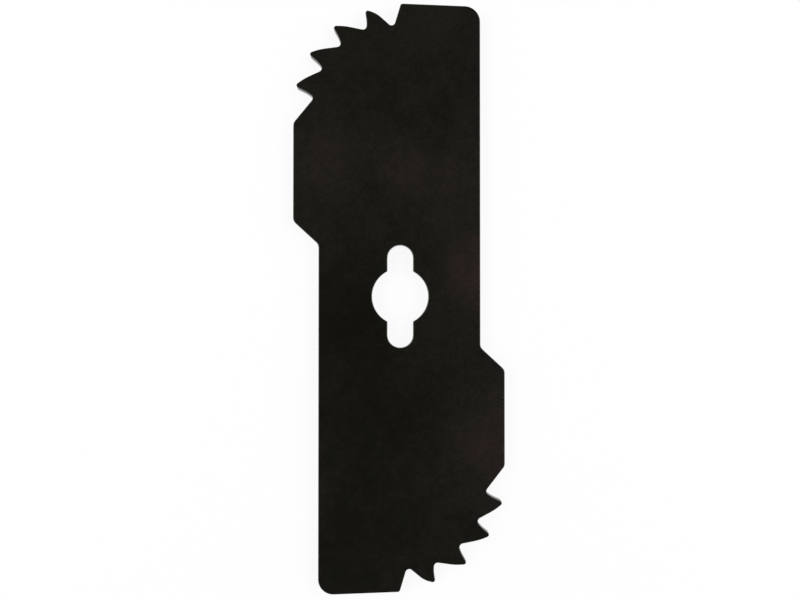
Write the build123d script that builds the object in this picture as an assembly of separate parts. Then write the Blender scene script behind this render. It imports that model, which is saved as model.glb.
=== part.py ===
# Flat stamped steel blade with a toothed lobe at each end, in millimetres.
# X runs across the blade, Y along it and Z up from the face it lies on. The origin is under the arbor hole.
import os
from math import cos, radians, sin, tan

from build123d import *

# Plate
length = 190.5
bar_width = 52.3
thickness = 2.5
edge_round = 0.3  # the upper rim, drawn down by the punch; the lower rim is left crisp
end_corner_round = 5.0  # where the plain side meets the end

# Toothed lobe, one at each end on opposite sides
lobe_reach = 34.2  # from the centre line to the lobe's straight side
shoulder_start = 16.6  # along Y from the centre
shoulder_slope = 42.7  # degrees from straight across
shoulder_round = 2.4
lobe_round = 2.5
lobe_top_drop = 3.65  # the straight side stops this far below the tip circle's centre

# Teeth, placed in polar sizes about the centre of the circle that touches the end and the lobe's side
tip_circle = 36.1
tooth_pitch = 18.5  # degrees between teeth
tip_reach = 36.75  # before the tip is rounded
tip_round = 0.8
tip_overhangs = [3.95, 3.7, 3.45, 4.1]  # degrees from each tip back to the root of its own face
root_reach = 29.9  # before the gullet is rounded
root_angle = 115.6  # degrees, the second gullet
root_round = 1.2
back_bow = 0.55  # how far a tooth's back stands out from the straight line between root and tip
back_round = 18.5
bow_place = 0.67  # share of the back's length where it stands out most
face_hollow = 0.34  # how far a tooth's face sinks behind the straight line between tip and root
face_round = 11.5
hollow_place = 0.59  # share of the face's length, from the tip, where it sinks most

# The first gullet, beside the end edge, is deeper and its tooth a little shorter
first_root_reach = 28.3
first_root_angle = 98.5
first_tip_reach = 36.2
first_back_bow = 1.15
first_back_round = 8.6
end_face_setback = 1.73  # the end edge stops this far past the top of the tip circle
end_face_round = 0.9

# Arbor hole with a drive slot across it
hole_diameter = 18.25
slot_width = 8.3
slot_span = 33.25
slot_corner_round = 0.5

end_y = length / 2
centre = Vector(tip_circle - lobe_reach, end_y - tip_circle)


def polar(reach, angle):
    return centre + Vector(reach * cos(radians(angle)), reach * sin(radians(angle)))


def bend(start, end, place, bow):
    # the corner of a gently curved side, standing out by its bow, or sunk where the bow is negative
    along = end - start
    outward = Vector(along.Y, -along.X).normalized()
    return start + along * place + outward * bow


def tooth_corners():
    # from the first gullet round to the last, each corner with its rounding
    root = polar(first_root_reach, first_root_angle)
    corners = [(root, root_round)]
    reach, bow, blend = first_tip_reach, first_back_bow, first_back_round
    for tooth, overhang in enumerate(tip_overhangs):
        next_angle = root_angle + tooth_pitch * tooth
        tip = polar(reach, next_angle - overhang)
        corners.append((bend(root, tip, bow_place, bow), blend))
        corners.append((tip, tip_round))
        root = polar(root_reach, next_angle)
        corners.append((bend(tip, root, hollow_place, -face_hollow), face_round))
        corners.append((root, root_round))
        reach, bow, blend = tip_reach, back_bow, back_round
    return corners


def half_corners():
    # one toothed end, from its plain corner round to the shoulder on the other side
    half_bar = bar_width / 2
    shoulder_end = shoulder_start + (lobe_reach - half_bar) * tan(radians(shoulder_slope))
    corners = [
        (Vector(half_bar, end_y), end_corner_round),
        (Vector(centre.X - end_face_setback, end_y), end_face_round),
    ]
    corners += tooth_corners()
    corners += [
        (Vector(-lobe_reach, centre.Y - lobe_top_drop), lobe_round),
        (Vector(-lobe_reach, shoulder_end), lobe_round),
        (Vector(-half_bar, shoulder_start), shoulder_round),
    ]
    return corners


def blank():
    # the second end is the first turned half a circle about the arbor hole
    corners = half_corners()
    corners += [(point * -1, rounding) for point, rounding in corners]
    points = [point for point, rounding in corners]
    roundings = [rounding for point, rounding in corners]
    return make_face(FilletPolyline(*points, radius=roundings, close=True))


def arbor_opening():
    hole = Circle(hole_diameter / 2)
    opening = hole + SlotOverall(slot_span, slot_width, rotation=90)
    meeting = [v for v in opening.vertices() if abs(Vector(v).length - hole_diameter / 2) < 0.01]
    return fillet(meeting, slot_corner_round)


def blade():
    plate = extrude(blank() - arbor_opening(), thickness)
    upper_face = plate.faces().sort_by(Axis.Z)[-1]
    return fillet(upper_face.edges(), edge_round)


os.makedirs("parts", exist_ok=True)
export_step(blade(), "parts/blade.step")
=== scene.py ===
from math import radians, sin

import bpy
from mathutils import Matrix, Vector


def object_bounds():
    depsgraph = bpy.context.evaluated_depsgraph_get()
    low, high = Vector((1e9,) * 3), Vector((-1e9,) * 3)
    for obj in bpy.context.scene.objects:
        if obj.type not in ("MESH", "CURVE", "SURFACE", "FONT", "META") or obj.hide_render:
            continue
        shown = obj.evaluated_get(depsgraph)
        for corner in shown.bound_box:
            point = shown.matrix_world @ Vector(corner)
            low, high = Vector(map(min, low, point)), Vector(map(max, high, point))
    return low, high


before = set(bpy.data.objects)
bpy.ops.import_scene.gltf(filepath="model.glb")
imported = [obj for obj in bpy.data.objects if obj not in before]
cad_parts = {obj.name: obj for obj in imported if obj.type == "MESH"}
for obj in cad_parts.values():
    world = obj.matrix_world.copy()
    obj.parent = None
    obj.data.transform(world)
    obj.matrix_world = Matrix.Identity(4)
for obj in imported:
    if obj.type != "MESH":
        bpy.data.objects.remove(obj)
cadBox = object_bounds()
perMetre = 1000  # the blade's sizes and the camera's place are in millimetres, the scene is in metres
print("frame loaded:", ", ".join(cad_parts))


def toLinear(hexColour):
    # sRGB hex to the linear colour that shaders work in
    channels = [int(hexColour[i:i + 2], 16) / 255 for i in (1, 3, 5)]
    return [c / 12.92 if c <= 0.04045 else ((c + 0.055) / 1.055) ** 2.4 for c in channels] + [1.0]


def addNode(tree, kind, settings={}, values={}, links={}):
    node = tree.nodes.new(kind)
    for name, value in settings.items():
        setattr(node, name, value)
    for socket, value in values.items():
        node.inputs[socket].default_value = value
    for socket, source in links.items():
        tree.links.new(source, node.inputs[socket])
    return node


def newMaterial(name):
    material = bpy.data.materials.new(name)
    material.use_nodes = True
    material.node_tree.nodes.clear()
    return material, material.node_tree


# Satin black paint sprayed on stamped sheet steel and lightly rubbed.
# The eye gets a deep, slightly olive black from above, lighter and browner in some places and blacker in
# others, and a soft sheen from the side.
blackPaint = {
    "tones": ["#0A0803", "#0E0D07", "#16140E", "#211814", "#281F1B"],  # from the blackest to the lightest
    "roughness": (0.28, 0.36),  # from the blackest to the lightest places
    "wallRoughness": 0.15,  # the sheared rim is burnished by the punch, so its paint lies smoother
    "wallToFace": (0.3, 0.9),  # how far up the rim faces where its gloss turns into the flat face's
    "plainLightness": 0.38,  # away from the patches, on a scale from the blackest (0) to the lightest (1)
    # size in millimetres and amount of each noise that clouds the coat, coarse to fine;
    # the finest is drawn coarser than the paint's own grain, so that it shows in the picture
    "clouds": [(26, 0.28), (8, 0.42), (2.6, 0.38), (0.9, 0.52)],
    "cloudDetail": 2.0,
    "cloudSwirl": 0.4,
    "peelMm": 2.2,  # orange peel of the sprayed coat
    "peelHeightMm": 0.004,
    "peelDetail": 1.0,
    "peelStrength": 0.5,
    # lighter (plus) or blacker (minus) places: x, y and reach in millimetres, and amount
    "patches": [
        (9, 91, 18, 0.12),
        (-24, 43, 20, 0.26),
        (1, 42, 17, 0.22),
        (21, 36, 25, 0.20),
        (26, 9, 21, 0.44),
        (-18, -4, 30, -0.28),
        (-4, -36, 40, -0.16),
        (-12, -80, 34, -0.12),
        (31, -48, 32, 0.30),
    ],
}


def makeBlackPaint(look):
    material, tree = newMaterial("blackPaintOnSteel")
    coords = addNode(tree, "ShaderNodeTexCoord").outputs
    place = coords["Object"]
    top = cadBox[1][2]

    # the lightness of the coat's tone is the sum of the plain level, the clouds and the patches
    terms = []
    for size, amount in look["clouds"]:
        noise = addNode(tree, "ShaderNodeTexNoise", links={"Vector": place},
                        values={"Scale": perMetre / size, "Detail": look["cloudDetail"],
                                "Distortion": look["cloudSwirl"]})
        cloud = addNode(tree, "ShaderNodeMath", {"operation": "MULTIPLY_ADD"},
                        {1: amount, 2: -amount / 2}, {0: noise.outputs["Fac"]})
        terms.append(cloud.outputs[0])
    for x, y, reach, amount in look["patches"]:
        away = addNode(tree, "ShaderNodeVectorMath", {"operation": "DISTANCE"},
                       {1: (x / perMetre, y / perMetre, top)}, {0: place})
        patch = addNode(tree, "ShaderNodeMapRange", {"interpolation_type": "SMOOTHERSTEP"},
                        {"From Max": reach / perMetre, "To Min": amount, "To Max": 0.0},
                        {"Value": away.outputs["Value"]})
        terms.append(patch.outputs["Result"])
    lightness = addNode(tree, "ShaderNodeMath", {"operation": "ADD"}, {1: look["plainLightness"]}, {0: terms[0]})
    for term in terms[1:]:
        lightness = addNode(tree, "ShaderNodeMath", {"operation": "ADD"}, links={0: lightness.outputs[0], 1: term})

    colour = addNode(tree, "ShaderNodeValToRGB", links={"Fac": lightness.outputs[0]})
    stops = colour.color_ramp.elements
    stops.remove(stops[1])
    for number, tone in enumerate(look["tones"]):
        stop = stops.new(number / (len(look["tones"]) - 1)) if number else stops[0]
        stop.color = toLinear(tone)

    smooth, rough = look["roughness"]
    dull = addNode(tree, "ShaderNodeMapRange", values={"To Min": smooth, "To Max": rough},
                   links={"Value": lightness.outputs[0]})
    wall, face = look["wallToFace"]
    facing = addNode(tree, "ShaderNodeSeparateXYZ", links={"Vector": coords["Normal"]})
    upright = addNode(tree, "ShaderNodeMath", {"operation": "ABSOLUTE"}, links={0: facing.outputs["Z"]})
    gloss = addNode(tree, "ShaderNodeMapRange", {"interpolation_type": "SMOOTHSTEP"},
                    {"From Min": wall, "From Max": face, "To Min": look["wallRoughness"]},
                    {"Value": upright.outputs[0], "To Max": dull.outputs["Result"]})

    peel = addNode(tree, "ShaderNodeTexNoise", links={"Vector": place},
                   values={"Scale": perMetre / look["peelMm"], "Detail": look["peelDetail"]})
    relief = addNode(tree, "ShaderNodeBump", links={"Height": peel.outputs["Fac"]},
                     values={"Strength": look["peelStrength"], "Distance": look["peelHeightMm"] / perMetre})
    coat = addNode(tree, "ShaderNodeBsdfPrincipled",
                   links={"Base Color": colour.outputs["Color"], "Roughness": gloss.outputs["Result"],
                          "Normal": relief.outputs["Normal"]})
    addNode(tree, "ShaderNodeOutputMaterial", links={"Surface": coat.outputs["BSDF"]})
    return material


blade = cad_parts["blade"]
paint = makeBlackPaint(blackPaint)
for slot in blade.material_slots:
    slot.material = paint
print("blade painted")


# White card floor in a white light tent with a soft lamp on either side, in metres. The tent is open
# and dark overhead, which the flat face mirrors when it is seen from above.
studio = {
    "floorSize": 40.0,
    "floor": "#FFFFFF",
    "glow": 0.9,  # share of the floor's white that doesn't depend on the lamps, for a clean ground
    "tent": "#FFFFFF",
    "tentLevel": 1.0,
    "openingLevel": 0.035,
    "opening": (20, 38),  # degrees above the horizon where the tent's wall ends and the opening starts
    "lampSize": (1.0, 0.5),
    "lampWatts": 5.6,
    "lamps": [(0.66, 0.05, 0.35), (-0.66, 0.05, 0.35)],
}


def makeFloor(look):
    bpy.ops.object.select_all(action="DESELECT")
    bpy.ops.mesh.primitive_plane_add(size=look["floorSize"], location=(0, 0, cadBox[0][2]))
    floor = bpy.context.object
    floor.name = "whiteFloor"
    bpy.ops.object.transform_apply(location=True)
    material, tree = newMaterial("whiteCard")
    white = toLinear(look["floor"])
    card = addNode(tree, "ShaderNodeBsdfDiffuse", values={"Color": white})
    glow = addNode(tree, "ShaderNodeEmission", values={"Color": white, "Strength": 1.0})
    ray = addNode(tree, "ShaderNodeLightPath").outputs
    seen = addNode(tree, "ShaderNodeMath", {"operation": "MAXIMUM"},
                   links={0: ray["Is Camera Ray"], 1: ray["Is Glossy Ray"]})
    seen = addNode(tree, "ShaderNodeMath", {"operation": "MAXIMUM"},
                   links={0: seen.outputs[0], 1: ray["Is Transmission Ray"]})
    share = addNode(tree, "ShaderNodeMath", {"operation": "MULTIPLY"}, {1: look["glow"]},
                    {0: seen.outputs[0]})
    mixed = addNode(tree, "ShaderNodeMixShader",
                    links={0: share.outputs[0], 1: card.outputs[0], 2: glow.outputs[0]})
    addNode(tree, "ShaderNodeOutputMaterial", links={"Surface": mixed.outputs[0]})
    floor.data.materials.append(material)


def makeLights(look):
    world = bpy.data.worlds.new("lightTent")
    bpy.context.scene.world = world
    world.use_nodes = True
    tree = world.node_tree
    tree.nodes.clear()
    way = addNode(tree, "ShaderNodeTexCoord").outputs["Generated"]
    rise = addNode(tree, "ShaderNodeSeparateXYZ", links={"Vector": way}).outputs["Z"]
    wallEnd, openingStart = [sin(radians(angle)) for angle in look["opening"]]
    level = addNode(tree, "ShaderNodeMapRange", links={"Value": rise},
                    values={"From Min": wallEnd, "From Max": openingStart,
                            "To Min": look["tentLevel"], "To Max": look["openingLevel"]})
    tent = addNode(tree, "ShaderNodeBackground", values={"Color": toLinear(look["tent"])},
                   links={"Strength": level.outputs["Result"]})
    addNode(tree, "ShaderNodeOutputWorld", links={"Surface": tent.outputs["Background"]})
    for number, spot in enumerate(look["lamps"]):
        turn = (-Vector(spot)).to_track_quat("-Z", "Y").to_euler()
        bpy.ops.object.light_add(type="AREA", location=spot, rotation=turn)
        lamp = bpy.context.object
        lamp.name = f"softLamp{number + 1}"
        lamp.data.shape = "RECTANGLE"
        lamp.data.size, lamp.data.size_y = look["lampSize"]
        lamp.data.energy = look["lampWatts"]


makeFloor(studio)
makeLights(studio)
print("studio ready")


# The photograph is taken from above with a wide lens close to the plate, and cropped on one side.
photoView = {
    "fromMm": (-3.64, -2.95, 199.79),
    "turnDegrees": (0.522, -4.787, -0.017),  # from looking straight down with Y up the picture
    "lensPixels": 609,  # focal length, in pixels of the picture
    "widthPixels": 800,
    "sensorMm": 36,
    "shift": -0.05,  # of the picture's width, for the crop
    "nearest": 0.01,  # metres from the camera at which the picture starts
}


def makeCamera(view):
    bpy.ops.object.camera_add(location=Vector(view["fromMm"]) / perMetre,
                              rotation=[radians(turn) for turn in view["turnDegrees"]])
    camera = bpy.context.object
    camera.name = "photoCamera"
    camera.data.sensor_width = view["sensorMm"]
    camera.data.lens = view["lensPixels"] * view["sensorMm"] / view["widthPixels"]
    camera.data.shift_x = view["shift"]
    camera.data.clip_start = view["nearest"]
    bpy.context.scene.camera = camera


makeCamera(photoView)
bpy.context.scene.view_settings.view_transform = "Standard"
print("camera placed")
